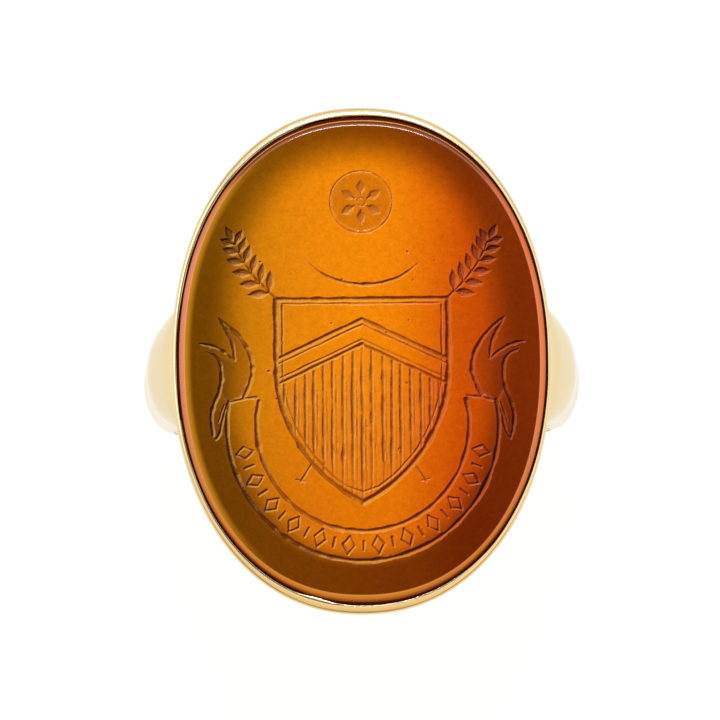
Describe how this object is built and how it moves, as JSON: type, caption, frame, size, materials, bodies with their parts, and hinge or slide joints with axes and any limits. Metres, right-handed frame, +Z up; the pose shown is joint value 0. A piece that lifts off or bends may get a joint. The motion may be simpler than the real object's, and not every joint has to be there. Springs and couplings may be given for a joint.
{
  "type": "signet ring",
  "caption": "Finger ring with an engraved oval stone held in a plain rubbed-over bezel, on a smooth band that widens into shoulders.",
  "frame": {"origin": "centre of the finger hole", "axes": "+Y along the finger, towards the fingertip end of the stone's design; +Z up through the head; +X across the finger, to the right shoulder"},
  "size_m": [0.0214, 0.024, 0.0236],
  "materials": {
    "gold": "polished",
    "carnelian": "polished"
  },
  "bodies": {
    "root": {"intaglio_stone": "carnelian", "bezel_wall": "gold", "bearing_strip": "gold", "gallery_plate": "gold", "shank": "gold", "left_shoulder": "gold", "right_shoulder": "gold"}
  },
  "joints": []
}
